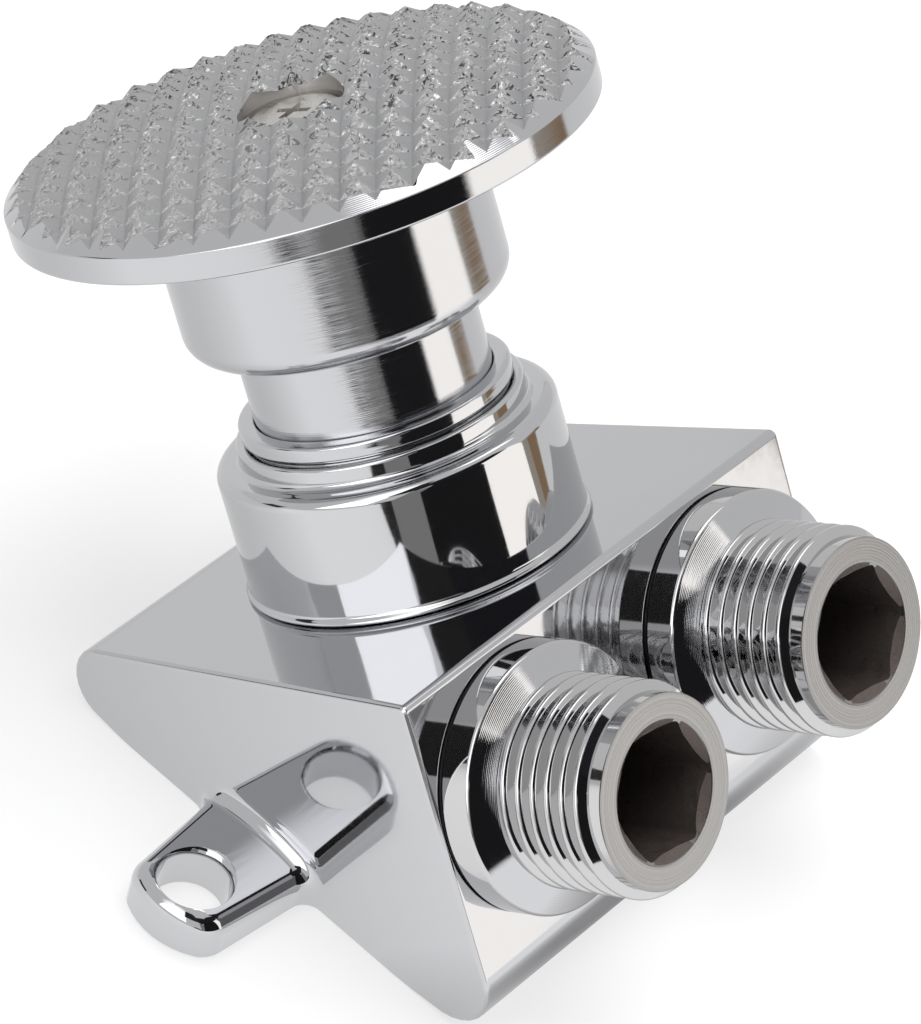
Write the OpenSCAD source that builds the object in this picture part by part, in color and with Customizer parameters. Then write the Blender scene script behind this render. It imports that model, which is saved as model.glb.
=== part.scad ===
// Foot pedal tap valve: a wedge-shaped body that is screwed to the floor, a spring-loaded
// stem with a round toothed pedal, and two threaded ports at the back.
// Millimetres. X runs along the wedge, +Y points to the back with the ports, +Z is up.
// The origin is on the floor, midway between the two screw holes.

/* [Body] */
// Length of the wedge along its ridge
body_len = 60; // [56:0.5:70]
// Angle by which each end face closes in towards the toe
end_taper = 4.25; // [2:0.05:6]
// Angle between the sloping top face and the floor
slope = 34.4; // [33:0.1:38]
// Height at which the stem axis meets the sloping face
slope_h = 20.2; // [19.4:0.1:22]
// Distance along the slope from the stem axis to the back face
back_reach = 23.4; // [23:0.05:27]
// Radius of the rounded toe
toe_r = 4.4; // [3:0.1:5]
// Radius of the rounded heel
heel_r = 5.7; // [3:0.1:6.5]
// Radius of the ridge between the sloping face and the back face
ridge_r = 0.8; // [0.3:0.1:1.5]

/* [Screw ears] */
// Distance between the two floor screw holes
hole_pitch = 77; // [74:0.5:84]
// Diameter of a floor screw hole
hole_d = 7.4; // [5:0.1:8]
// How far an ear reaches beyond the middle of its hole
ear_tip = 5.2; // [5:0.1:7]
// Radius of the arc at the tip of an ear
ear_tip_r = 8.3; // [7:0.1:12]
// Width of an ear at its hole
ear_w = 11.7; // [11:0.1:14]
// Angle by which each side of an ear closes in towards the tip
ear_taper = 5.4; // [2:0.1:7]
// Thickness of an ear at its hole
ear_h = 4.7; // [4.2:0.1:6]
// Angle by which the top of an ear rises towards the tip
ear_rise = 2; // [0.5:0.5:6]
// Radius of the rounded upper edge at the tip
ear_edge_r = 1.6; // [0.8:0.1:2]
// Radius of the fillet over the root of an ear
ear_top_fillet_r = 1; // [0.6:0.1:2]
// Radius of the fillets beside the root of an ear
ear_side_fillet_r = 2.6; // [1.5:0.1:3]
// How far behind the foot of the stem axis the ears stand
ear_back = 7.25; // [5:0.05:10]

/* [Stem] */
// Diameter of the stem
stem_d = 24.4; // [22:0.1:26]
// Length of stem that shows between gland nut and pedal hub
stem_show = 8.3; // [7:0.05:12]
// How far the pedal can be pressed
travel = 5.5; // [4:0.1:5.7]
// Running clearance around the stem
stem_gap = 0.05; // [0.03:0.01:0.1]
// Diameter of the spigot that carries the pedal hub
spigot_d = 16; // [12:0.1:18]
// Length of that spigot
spigot_len = 14.7; // [13:0.1:15]
// How far the stem's shoulder sits inside the hub
hub_recess = 1.35; // [0.8:0.05:2]

/* [Bonnet] */
// Height of the threaded neck above the sloping face
neck_h = 6.2; // [5.5:0.1:7]
// Wall of the neck
neck_wall = 1.9; // [1.6:0.1:2.5]
// Free space between the stem and the bore of the neck
bore_gap = 1.4; // [1.2:0.1:2]
// Wall of the cap around the neck
cap_wall = 1.9; // [1.6:0.05:2.6]
// Height of the cap's shoulder above the sloping face
cap_shoulder_h = 13.6; // [12.6:0.1:14.3]
// Rounding of the shoulder's outer edge
cap_edge_r = 1.2; // [0.4:0.1:1.8]
// Height of the cap's upper rim above the shoulder
cap_rim_h = 2.15; // [1.6:0.05:3.2]
// Wall of the cap's upper rim around the gland nut
cap_rim_wall = 1.3; // [1.2:0.05:1.8]
// Radius of the bead around the foot of the cap
cap_bead_r = 0.45; // [0.3:0.05:0.6]
// Thickness of the lip inside the cap that carries the packing
cap_lip_t = 1.5; // [1.2:0.1:1.8]
// Thickness of the gasket between neck and cap
bonnet_gasket_t = 0.8; // [0.5:0.1:1]
// Clearance between screwed pieces
thread_gap = 0.05; // [0.03:0.01:0.08]

/* [Gland] */
// Wall of the gland nut's sleeve
gland_wall = 1.15; // [1:0.05:1.4]
// Height of the gland nut's head
gland_head_h = 1.6; // [1.6:0.1:2.4]
// How far the head stands out over the sleeve
gland_head_lip = 0.56; // [0.4:0.02:0.9]
// Height of the dark joint between cap rim and head
gland_joint_h = 0.35; // [0.2:0.05:0.5]
// Height of the stem packing
packing_h = 2.2; // [1.8:0.1:2.6]
// Thickness of the washer on the packing
packing_washer_t = 0.8; // [0.6:0.1:1]
// Height of the wiper ring
wiper_h = 0.7; // [0.5:0.05:0.8]
// Radial thickness of the wiper ring
wiper_w = 0.75; // [0.5:0.05:0.9]

/* [Seat and poppet] */
// Depth of the ledge that carries the seat ring
ledge_depth = 0.4; // [0.2:0.1:0.6]
// Diameter of the seat ring's barrel
seat_d = 16; // [15.4:0.1:16.4]
// Diameter of the orifice
orifice_d = 10; // [9:0.1:10.6]
// Length of the seat ring's barrel
seat_len = 3.5; // [3.2:0.1:3.7]
// Thickness of the seat ring's flange
seat_flange_t = 1.4; // [1:0.1:1.5]
// How far the flange stands out over the barrel
seat_flange_lip = 1.4; // [0.8:0.1:1.8]
// Height of the sealing lip under the seat ring
seat_lip_h = 0.5; // [0.3:0.1:0.6]
// Wall of the sealing lip
seat_lip_wall = 0.8; // [0.5:0.1:1]
// Thickness of the seat's O-ring
seat_cord_d = 1.2; // [1:0.1:1.3]
// Diameter of the poppet's disc and washer
poppet_d = 14; // [13.4:0.1:14.6]
// Thickness of the poppet's disc
poppet_t = 1.8; // [1.4:0.1:1.9]
// Thickness of the rubber washer
poppet_washer_t = 2; // [1.5:0.1:2.1]
// Width across the flats of the poppet nut
poppet_nut_af = 7; // [6:0.1:7.4]
// Height of the poppet nut
poppet_nut_h = 2.4; // [2:0.1:3]
// Diameter of the poppet's rod
rod_d = 4; // [3.5:0.1:4.4]
// Gap between the pieces of the poppet and the seat when closed
seat_gap = 0.05; // [0.02:0.01:0.1]
// Room left under the poppet when the pedal is fully pressed
floor_gap = 0.75; // [0.5:0.05:0.9]
// Room left between the stem and the seat ring when the pedal is fully pressed
stem_end_gap = 0.9; // [0.5:0.1:1.2]
// Spare width of the groove around the seat's O-ring
seat_groove_room = 0.4; // [0.2:0.05:0.6]

/* [Spring] */
// Diameter of the spring wire
wire_d = 1.6; // [1.4:0.1:1.7]
// Diameter of the spring at the middle of its wire
spring_d = 14.8; // [14:0.1:15.2]
// Number of turns
spring_turns = 6; // [5:0.5:6]
// Diameter of the pocket in the stem that holds the spring
pocket_d = 18; // [17.6:0.1:18.6]
// Depth of that pocket
pocket_depth = 12.1; // [11:0.1:12.5]
// Thickness of the thrust washer
thrust_t = 1; // [0.8:0.1:1.4]
// Clearance around the thrust washer
thrust_gap = 0.3; // [0.2:0.05:0.5]
// How far the rod screws into the stem
rod_grip = 5.5; // [4:0.1:6]

/* [Pedal] */
// Diameter of the pedal plate
plate_d = 59.5; // [50:0.5:70]
// Thickness of the plate at its rim
plate_t = 2.85; // [2.5:0.05:3.5]
// Diameter of the hub under the plate
hub_d = 33.3; // [30:0.1:36]
// Height of the hub
hub_h = 16.5; // [15.6:0.05:18]
// Radius of the rounded lower edge of the hub
hub_edge_r = 2.4; // [1:0.1:3]
// Height of the middle tooth's tip above the rim
dome_h = 4; // [3.6:0.1:4.5]
// Radius of the dome on which all the tips lie
dome_r = 188; // [150:1:250]
// Pitch of the pyramid teeth
tooth_pitch = 3.5; // [3:0.05:6]
// Height of a tooth from groove to tip
tooth_h = 1.2; // [0.8:0.05:1.4]
// Turn of the grooves around the stem axis
tooth_turn = 39; // [0:1:45]
// Angle of the turned margin around the teeth
margin_angle = 40; // [30:1:50]

/* [Pedal screw] */
// Thread diameter of the pedal screw
screw_d = 5; // [4:0.1:6]
// Length of the screw under its head
screw_len = 12; // [10:0.5:13]
// Diameter of the screw's head
head_d = 10; // [8:0.1:10.5]
// Height of the screw's head
head_h = 2.4; // [2:0.1:2.6]
// Width of the cross recess
recess_w = 1.1; // [0.8:0.1:1.4]
// Length of the cross recess
recess_len = 5.2; // [4:0.1:6]
// Depth of the cross recess
recess_depth = 1.3; // [0.8:0.1:1.6]
// Thickness of the lock washer
lock_t = 0.8; // [0.6:0.1:0.9]
// Clearance around the head in its counterbore
head_gap = 0.4; // [0.3:0.05:0.6]
// Clearance of the pedal on its spigot
hub_gap = 0.05; // [0.03:0.01:0.1]
// Free space above the spigot's end
spigot_end_gap = 0.3; // [0.2:0.05:0.5]
// Thickness of the pedal between spigot and counterbore
web_t = 1.9; // [1.6:0.1:2.2]

/* [Ports] */
// Distance between the two ports
port_pitch = 32.4; // [29:0.1:34]
// Depth of the port axes under the sloping face
port_drop = 14.65; // [14:0.05:15]
// Major diameter of the G1/2 pipe thread
thread_d = 20.955; // [16.662, 20.955, 26.441]
// Length of the threaded end
thread_len = 10.8; // [9:0.1:14]
// Chamfer at the end of the thread
thread_chamfer = 0.9; // [0.5:0.1:1.2]
// Length of the plain relief between collar and thread
relief_len = 1; // [0.6:0.1:1.5]
// Depth of that relief under the thread's major diameter
relief_depth = 0.9; // [0.5:0.1:1.2]
// Diameter of the nipple's collar
collar_d = 26.7; // [26:0.1:28]
// Height of the collar's round side
collar_h = 3; // [2:0.1:4]
// Rise of the collar's turned face towards the thread
collar_rise = 1; // [0.5:0.1:1.5]
// Width across the flats of the hexagon socket
hex_af = 12; // [10:0.1:12.5]
// Depth of the hexagon socket
hex_depth = 12; // [9:0.1:13]
// Turn of the hexagon
hex_turn = -8; // [-30:1:30]
// Depth of the round chamfer at the mouth
mouth_chamfer = 0.7; // [0.4:0.1:1]
// Radius of the round mouth at the end face
mouth_r = 7.05; // [6.6:0.05:7.4]
// Diameter of the water way behind the hexagon
way_d = 10; // [8:0.1:10.4]
// Diameter of the threaded end that screws into the body
root_d = 16.6; // [15:0.1:17]
// Length of that end
root_len = 8.5; // [7:0.1:9.5]
// Thickness of the port gasket
gasket_t = 0.8; // [0.6:0.1:1.2]
// How far the gasket stays inside the collar
gasket_inset = 0.25; // [0.1:0.05:0.5]
// Radius of the passages cast in the body
passage_r = 2.2; // [1.8:0.1:2.3]
// Height of the inlet passage above the port axis
passage_rise = 2.5; // [2.45:0.05:2.6]

/* [Hidden] */
$fn = 64;

// How far a cutting tool reaches past the face it cuts
over = 1;
// How far a rounding's arc crosses the straight edges it joins
seam = 0.004;

// Radii outward from the stem axis
stem_r = stem_d / 2;
slide_r = stem_r + stem_gap;
sleeve_r = slide_r + gland_wall;
bore_r = stem_r + bore_gap;
neck_r = bore_r + neck_wall;
cap_r = neck_r + thread_gap + cap_wall;
rim_r = sleeve_r + thread_gap + cap_rim_wall;
chamber_r = seat_d / 2 + thread_gap;

// Heights along the stem axis, counted from the sloping face
lip_s = neck_h + bonnet_gasket_t;
packing_s = lip_s + cap_lip_t;
packing_washer_s = packing_s + packing_h;
sleeve_s = packing_washer_s + packing_washer_t;
rim_s = cap_shoulder_h + cap_rim_h;
head_s = rim_s + gland_joint_h;
gland_top_s = head_s + gland_head_h;
hub_s = gland_top_s + stem_show;
shoulder_s = hub_s + hub_recess;
spigot_top_s = shoulder_s + spigot_len;
plate_s = hub_s + hub_h;
rim_top_s = plate_s + plate_t;
tip_s = rim_top_s + dome_h;
seat_top_s = seat_flange_t - ledge_depth;
lip_end_s = -ledge_depth - seat_len - seat_lip_h;
washer_s = lip_end_s - seat_gap - poppet_washer_t;
disc_s = washer_s - poppet_t;
chamber_s = disc_s - travel - floor_gap;
stem_low_s = seat_top_s + travel + stem_end_gap;
pocket_s = stem_low_s + pocket_depth;
thrust_s = pocket_s - thrust_t;
counterbore_s = spigot_top_s + spigot_end_gap + web_t;
screw_seat_s = counterbore_s + lock_t;

// Depth of the body's port hole behind the end of a nipple
port_bottom = root_len + over;
port_x = port_pitch / 2;
nipple_len = collar_h + collar_rise + relief_len + thread_len;
thread_r = thread_d / 2;
relief_r = thread_r - relief_depth;

// Places along the port's own axis, from the outer face of its gasket
relief_z = collar_h + collar_rise;
thread_z = relief_z + relief_len;

// Moves from the floor frame to the stem frame: X stays, Y runs up the slope, Z is the stem axis
module on_slope() {
    translate([0, -ear_back, slope_h])
        rotate([slope, 0, 0])
            children();
}

// Places children on a port axis, with Z pointing out of the port
module at_port(side) {
    on_slope()
        translate([side * port_x, back_reach + gasket_t, -port_drop])
            rotate([-90, 0, 0])
                children();
}

// Ring around the Z axis
module ring(inner_r, outer_r, height) {
    rotate_extrude()
        translate([inner_r, 0])
            square([outer_r - inner_r, height]);
}

// Half section of a turned disc with a rounded upper edge
module round_top_section(r, height, edge_r) {
    square([r - edge_r, height]);
    square([r, height - edge_r]);
    translate([r - edge_r, height - edge_r])
        circle(edge_r);
}

// Rounding of the corner p between the edges that run to a and to b
function unit(v) = v / norm(v);
function half_angle(p, a, b) = acos(unit(a - p) * unit(b - p)) / 2;
function tangent_point(p, a, b, r) = p + unit(a - p) * r / tan(half_angle(p, a, b));
function arc_centre(p, a, b, r) =
    p + unit(unit(a - p) + unit(b - p)) * r / sin(half_angle(p, a, b));

// Concave rounding that fills such a corner from outside
module corner_fillet(p, a, b, r) {
    centre = arc_centre(p, a, b, r);
    difference() {
        polygon([tangent_point(p, a, b, r), centre, tangent_point(p, b, a, r),
            p - unit(centre - p) * over]);
        translate(centre)
            circle(r + seam);
    }
}

// Corners of the wedge in the Y-Z plane before rounding
toe_p = [-ear_back - slope_h / tan(slope), 0];
ridge_p = [-ear_back + back_reach * cos(slope), slope_h + back_reach * sin(slope)];
heel_p = [ridge_p[0] + ridge_p[1] * tan(slope), 0];
corners = [[toe_p, heel_p, ridge_p, toe_r], [ridge_p, toe_p, heel_p, ridge_r],
    [heel_p, ridge_p, toe_p, heel_r]];

module wedge_section() {
    polygon([for (c = corners) each [tangent_point(c[0], c[1], c[2], c[3]),
        tangent_point(c[0], c[2], c[1], c[3])]]);
    for (c = corners)
        translate(arc_centre(c[0], c[1], c[2], c[3]))
            circle(c[3] + seam);
}

// Half the body's length at a place along the slope
function half_len(n) = body_len / 2 + (n - back_reach) * tan(end_taper);

// Plan of the body seen along the stem axis, wider at the ridge than at the toe
module wedge_plan() {
    toe_n = -slope_h / sin(slope) - over;
    back_n = back_reach + over;
    polygon([[-half_len(toe_n), toe_n], [half_len(toe_n), toe_n],
        [half_len(back_n), back_n], [-half_len(back_n), back_n]]);
}

module wedge() {
    back_depth = ridge_p[1] / cos(slope);
    intersection() {
        rotate([90, 0, 90])
            linear_extrude(2 * body_len, center = true)
                wedge_section();
        on_slope()
            translate([0, 0, -back_depth])
                linear_extrude(back_depth + over)
                    wedge_plan();
    }
}

// The end face seen from an ear's hole: its turn in plan, its lean, and its place at the floor
face_turn = atan(tan(end_taper) * cos(slope));
face_lean = atan(tan(end_taper) * sin(slope));
face_x = half_len(ear_back * cos(slope) - slope_h * sin(slope)) - hole_pitch / 2;

// Half the width and the height of an ear at a distance from its hole
function ear_y(x) = ear_w / 2 - x * tan(ear_taper);
function ear_z(x) = ear_h + x * tan(ear_rise);
tip_x = ear_tip - ear_tip_r;
tip_h = ear_z(ear_tip);

// Corner in plan between a side of an ear and the end face
function root_corner(side) =
    let (y = side * ear_y(face_x) / (1 + side * tan(face_turn) * tan(ear_taper)))
    [face_x + y * tan(face_turn), y];

// Part of an ear's plan between two places along it
module ear_plan(from, to) {
    polygon([[from, -ear_y(from)], [to, -ear_y(to)], [to, ear_y(to)], [from, ear_y(from)]]);
}

// Plan of an ear up to its tip arc, with the fillets beside its root
module ear_root_plan() {
    ear_plan(face_x - over, tip_x);
    for (side = [-1, 1]) {
        p = root_corner(side);
        corner_fillet(p, p + [cos(ear_taper), -side * sin(ear_taper)],
            p + side * [sin(face_turn), cos(face_turn)], ear_side_fillet_r);
    }
}

// Tip of an ear, an arc in plan with a rounded upper edge
module ear_tip_end() {
    intersection() {
        translate([tip_x, 0, 0])
            rotate_extrude()
                round_top_section(ear_tip_r, tip_h, ear_edge_r);
        translate([0, 0, -over])
            linear_extrude(tip_h + 2 * over)
                ear_plan(tip_x, ear_tip + over);
    }
}

// Side view of an ear square to the end face, with the fillet over its root
module ear_side() {
    root = face_x * cos(face_turn);
    end = ear_tip + over;
    root_h = ear_z(root) / (1 - tan(face_lean) * tan(ear_rise));
    p = [root + root_h * tan(face_lean), root_h];
    polygon([[root - over, -over], [end, -over], [end, ear_z(end)],
        [root - over, ear_z(root - over)]]);
    corner_fillet(p, p + [cos(ear_rise), sin(ear_rise)],
        p + [sin(face_lean), cos(face_lean)], ear_top_fillet_r);
}

module ear() {
    difference() {
        intersection() {
            union() {
                linear_extrude(tip_h)
                    ear_root_plan();
                ear_tip_end();
            }
            rotate([0, 0, -face_turn])
                translate([0, ear_w, 0])
                    rotate([90, 0, 0])
                        linear_extrude(2 * ear_w)
                            ear_side();
        }
        translate([0, 0, -over])
            cylinder(h = tip_h + 2 * over, d = hole_d);
    }
}

// Hollows of the body along the stem axis
module stem_hollows() {
    translate([0, 0, -ledge_depth])
        cylinder(h = ledge_depth + neck_h + over, r = bore_r);
    translate([0, 0, chamber_s])
        cylinder(h = -chamber_s, r = chamber_r);
}

// Port hole, its water way, and the passages to the chambers under and over the seat
module port_hollows() {
    for (side = [-1, 1])
        translate([side * port_x, back_reach, -port_drop])
            rotate([90, 0, 0]) {
                translate([0, 0, -over])
                    cylinder(h = port_bottom + over, r = root_d / 2 + thread_gap);
                cylinder(h = back_reach, d = way_d);
            }
    translate([-port_x, 2 * passage_r, -port_drop + passage_rise])
        rotate([0, 90, 0])
            cylinder(h = port_x, r = passage_r);
    translate([port_x - way_d / 2, chamber_r - passage_r, -port_drop])
        cylinder(h = port_drop - ledge_depth / 2, r = passage_r);
}

module valve_body() {
    color("silver")
        difference() {
            union() {
                wedge();
                for (side = [0, 1])
                    mirror([side, 0, 0])
                        translate([hole_pitch / 2, 0, 0])
                            ear();
                on_slope()
                    translate([0, 0, -over])
                        cylinder(h = neck_h + over, r = neck_r);
            }
            on_slope() {
                stem_hollows();
                port_hollows();
            }
        }
}

module bonnet_cap() {
    color("silver")
        on_slope()
            difference() {
                rotate_extrude() {
                    round_top_section(cap_r, cap_shoulder_h, cap_edge_r);
                    square([rim_r, rim_s]);
                    translate([cap_r, cap_bead_r])
                        circle(cap_bead_r);
                }
                translate([0, 0, -over])
                    cylinder(h = lip_s + over, r = neck_r + thread_gap);
                translate([0, 0, lip_s - over])
                    cylinder(h = rim_s, r = slide_r + stem_gap);
                translate([0, 0, packing_s])
                    cylinder(h = rim_s, r = sleeve_r + thread_gap);
            }
}

module bonnet_gasket() {
    color("dimgray")
        on_slope()
            translate([0, 0, neck_h])
                ring(bore_r, neck_r, bonnet_gasket_t);
}

module gland_nut() {
    recess_r = slide_r + wiper_w;
    color("silver")
        on_slope()
            difference() {
                union() {
                    translate([0, 0, sleeve_s])
                        cylinder(h = gland_top_s - sleeve_s, r = sleeve_r);
                    translate([0, 0, head_s])
                        cylinder(h = gland_head_h, r = sleeve_r + gland_head_lip);
                }
                translate([0, 0, sleeve_s - over])
                    cylinder(h = gland_top_s, r = slide_r);
                translate([0, 0, gland_top_s - wiper_h - wiper_w / 2])
                    cylinder(h = wiper_h, r = recess_r);
            }
}

module wiper_ring() {
    color("black")
        on_slope()
            translate([0, 0, gland_top_s - wiper_h - wiper_w / 2])
                ring(slide_r, slide_r + wiper_w, wiper_h);
}

module packing_washer() {
    color("goldenrod")
        on_slope()
            translate([0, 0, packing_washer_s])
                ring(slide_r, sleeve_r, packing_washer_t);
}

module stem_packing() {
    color("black")
        on_slope()
            translate([0, 0, packing_s])
                ring(slide_r, sleeve_r, packing_h);
}

module stem() {
    color("lightgray")
        on_slope()
            difference() {
                union() {
                    translate([0, 0, stem_low_s])
                        cylinder(h = shoulder_s - stem_low_s, r = stem_r);
                    translate([0, 0, stem_low_s])
                        cylinder(h = spigot_top_s - stem_low_s, d = spigot_d);
                }
                translate([0, 0, stem_low_s - over])
                    cylinder(h = pocket_depth + over, d = pocket_d);
                translate([0, 0, pocket_s - over])
                    cylinder(h = rod_grip + 2 * over, r = rod_d / 2 + thread_gap);
                translate([0, 0, screw_seat_s - screw_len - over])
                    cylinder(h = screw_len + over, r = screw_d / 2 + thread_gap);
            }
}

module thrust_washer() {
    color("goldenrod")
        on_slope()
            translate([0, 0, thrust_s])
                ring(rod_d / 2 + thrust_gap, pocket_d / 2 - thrust_gap, thrust_t - seat_gap);
}

// Points of the spring: rings of wire_sides points at turn_steps places along each turn
turn_steps = 8;
wire_sides = 6;
spring_low = seat_top_s + wire_d / 2 + seat_gap;
spring_high = thrust_s - wire_d / 2 - seat_gap;
spring_steps = turn_steps * spring_turns;
spring_pitch = (spring_high - spring_low) / spring_turns;
function spring_centre(i) = [
    spring_d / 2 * cos(i * 360 / turn_steps),
    spring_d / 2 * sin(i * 360 / turn_steps),
    spring_low + i / turn_steps * spring_pitch];
function wire_point(i, j) =
    let (around = i * 360 / turn_steps, turn = j * 360 / wire_sides)
    spring_centre(i) + wire_d / 2 * [cos(turn) * cos(around), cos(turn) * sin(around), sin(turn)];
spring_points = [for (i = [0 : spring_steps], j = [0 : wire_sides - 1]) wire_point(i, j)];
spring_sides = [for (i = [0 : spring_steps - 1], j = [0 : wire_sides - 1])
    let (k = (j + 1) % wire_sides, a = i * wire_sides, b = a + wire_sides)
    each [[a + j, a + k, b + k], [a + j, b + k, b + j]]];
spring_ends = [for (j = [1 : wire_sides - 2])
    let (last = spring_steps * wire_sides)
    each [[0, j + 1, j], [last, last + j, last + j + 1]]];

// Least gap between one turn of the spring and the next, measured on the points
spring_gap = min([for (i = [0 : turn_steps], j = [0 : wire_sides - 1], k = [0 : wire_sides - 1])
    norm(wire_point(i, j) - wire_point(i + turn_steps, k))]);
echo(spring_gap = spring_gap);

module return_spring() {
    color("lightsteelblue")
        on_slope()
            polyhedron(spring_points, concat(spring_sides, spring_ends));
}

module seat_ring() {
    groove_w = seat_cord_d + seat_groove_room;
    groove_s = -ledge_depth - seat_len / 2;
    color("goldenrod")
        on_slope()
            difference() {
                union() {
                    translate([0, 0, -ledge_depth])
                        cylinder(h = seat_flange_t, r = seat_d / 2 + seat_flange_lip);
                    translate([0, 0, -ledge_depth - seat_len])
                        cylinder(h = seat_len + seat_flange_t, d = seat_d);
                    translate([0, 0, lip_end_s])
                        cylinder(h = seat_len, r = orifice_d / 2 + seat_lip_wall);
                }
                translate([0, 0, lip_end_s - over])
                    cylinder(h = seat_top_s - lip_end_s + 2 * over, d = orifice_d);
                translate([0, 0, groove_s - groove_w / 2])
                    ring(chamber_r - seat_cord_d, seat_d, groove_w);
            }
}

module seat_o_ring() {
    color("black")
        on_slope()
            translate([0, 0, -ledge_depth - seat_len / 2])
                rotate_extrude()
                    translate([chamber_r - seat_cord_d / 2, 0])
                        circle(d = seat_cord_d);
}

module poppet() {
    color("goldenrod")
        on_slope() {
            translate([0, 0, disc_s])
                cylinder(h = poppet_t, d = poppet_d);
            translate([0, 0, disc_s])
                cylinder(h = pocket_s + rod_grip - disc_s, d = rod_d);
        }
}

module poppet_washer() {
    color("black")
        on_slope()
            translate([0, 0, washer_s])
                ring(rod_d / 2 + thread_gap, poppet_d / 2, poppet_washer_t);
}

module poppet_nut() {
    color("goldenrod")
        on_slope()
            translate([0, 0, lip_end_s - seat_gap])
                difference() {
                    cylinder(h = poppet_nut_h, d = poppet_nut_af / cos(30), $fn = 6);
                    translate([0, 0, -over])
                        cylinder(h = poppet_nut_h + 2 * over, r = rod_d / 2 + thread_gap);
                }
}

// Turned outline of the pedal: hub with a rounded lower edge, plate, and a conical margin
module pedal_section() {
    margin_w = dome_h / tan(margin_angle);
    translate([0, plate_s])
        mirror([0, 1])
            round_top_section(hub_d / 2, hub_h, hub_edge_r);
    translate([0, plate_s])
        square([plate_d / 2, plate_t]);
    polygon([[0, plate_s], [plate_d / 2, rim_top_s], [plate_d / 2 - margin_w, tip_s], [0, tip_s]]);
}

// Points of the toothed block: corners of the grooves, tips of the teeth, and four feet
teeth = 2 * ceil(plate_d / tooth_pitch / 2) + 1;
field = teeth * tooth_pitch;
function dome_s(u, v) = tip_s - (u * u + v * v) / dome_r / 2;
function groove_point(i, j) =
    let (u = i * tooth_pitch - field / 2, v = j * tooth_pitch - field / 2)
    [u, v, dome_s(u, v) - tooth_h];
function tip_point(i, j) =
    let (u = (i + 0.5) * tooth_pitch - field / 2, v = (j + 0.5) * tooth_pitch - field / 2)
    [u, v, dome_s(u, v)];
function groove_index(i, j) = i * (teeth + 1) + j;
first_tip = (teeth + 1) * (teeth + 1);
first_foot = first_tip + teeth * teeth;
tooth_points = concat(
    [for (i = [0 : teeth], j = [0 : teeth]) groove_point(i, j)],
    [for (i = [0 : teeth - 1], j = [0 : teeth - 1]) tip_point(i, j)],
    [for (c = [[-1, -1], [1, -1], [1, 1], [-1, 1]])
        [c[0] * field / 2, c[1] * field / 2, hub_s - over]]);
tooth_faces = [for (i = [0 : teeth - 1], j = [0 : teeth - 1])
    let (ring = [groove_index(i, j), groove_index(i, j + 1), groove_index(i + 1, j + 1),
        groove_index(i + 1, j)])
    for (k = [0 : 3]) [first_tip + i * teeth + j, ring[k], ring[(k + 1) % 4]]];
block_faces = [
    concat([for (i = [0 : teeth]) groove_index(i, 0)], [first_foot + 1, first_foot]),
    concat([for (j = [0 : teeth]) groove_index(teeth, j)], [first_foot + 2, first_foot + 1]),
    concat([for (i = [teeth : -1 : 0]) groove_index(i, teeth)], [first_foot + 3, first_foot + 2]),
    concat([for (j = [teeth : -1 : 0]) groove_index(0, j)], [first_foot, first_foot + 3]),
    [for (k = [0 : 3]) first_foot + k]];

// Block with a domed field of square pyramids on its top
module toothed_block() {
    rotate([0, 0, tooth_turn])
        polyhedron(tooth_points, concat(tooth_faces, block_faces));
}

module pedal() {
    color("gainsboro")
        on_slope()
            difference() {
                intersection() {
                    rotate_extrude()
                        pedal_section();
                    toothed_block();
                }
                translate([0, 0, hub_s - over])
                    cylinder(h = hub_recess + over, r = stem_r + hub_gap);
                translate([0, 0, hub_s])
                    cylinder(h = spigot_top_s + spigot_end_gap - hub_s, r = spigot_d / 2 + hub_gap);
                translate([0, 0, hub_s])
                    cylinder(h = tip_s - hub_s, r = screw_d / 2 + hub_gap);
                translate([0, 0, counterbore_s])
                    cylinder(h = tip_s, r = head_d / 2 + head_gap);
            }
}

module pedal_screw() {
    crown_r = head_h / 2;
    color("tan")
        on_slope()
            translate([0, 0, screw_seat_s])
                difference() {
                    union() {
                        rotate_extrude()
                            round_top_section(head_d / 2, head_h, crown_r);
                        translate([0, 0, -screw_len])
                            cylinder(h = screw_len, d = screw_d);
                    }
                    for (turn = [0, 90])
                        rotate([0, 0, turn])
                            translate([0, 0, head_h])
                                cube([recess_len, recess_w, 2 * recess_depth], center = true);
                }
}

module pedal_lock_washer() {
    color("silver")
        on_slope()
            translate([0, 0, counterbore_s])
                ring(screw_d / 2 + hub_gap, head_d / 2, lock_t);
}

// Round chamfer that opens the hexagon socket at the end face
module mouth_cone() {
    rotate_extrude()
        polygon([[0, nipple_len - mouth_chamfer], [hex_af / 2, nipple_len - mouth_chamfer],
            [mouth_r, nipple_len], [mouth_r, nipple_len + over], [0, nipple_len + over]]);
}

// Collared nipple: thread on the outside, hexagon socket inside, threaded end in the body
module nipple(side) {
    at_port(side)
        difference() {
            rotate_extrude()
                polygon([[0, -root_len - gasket_t], [root_d / 2, -root_len - gasket_t],
                    [root_d / 2, 0], [collar_d / 2, 0], [collar_d / 2, collar_h],
                    [relief_r, relief_z], [relief_r, thread_z],
                    [thread_r, thread_z + relief_depth],
                    [thread_r, nipple_len - thread_chamfer],
                    [thread_r - thread_chamfer, nipple_len], [0, nipple_len]]);
            translate([0, 0, nipple_len - hex_depth])
                rotate([0, 0, hex_turn])
                    cylinder(h = hex_depth + over, d = hex_af / cos(30), $fn = 6);
            translate([0, 0, -root_len - gasket_t - over])
                cylinder(h = nipple_len + root_len, d = way_d);
            mouth_cone();
        }
}

module port_gasket(side) {
    at_port(side)
        translate([0, 0, -gasket_t])
            ring(root_d / 2 + thread_gap, collar_d / 2 - gasket_inset, gasket_t);
}

module inlet_nipple() {
    color("silver")
        nipple(-1);
}

module outlet_nipple() {
    color("silver")
        nipple(1);
}

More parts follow.
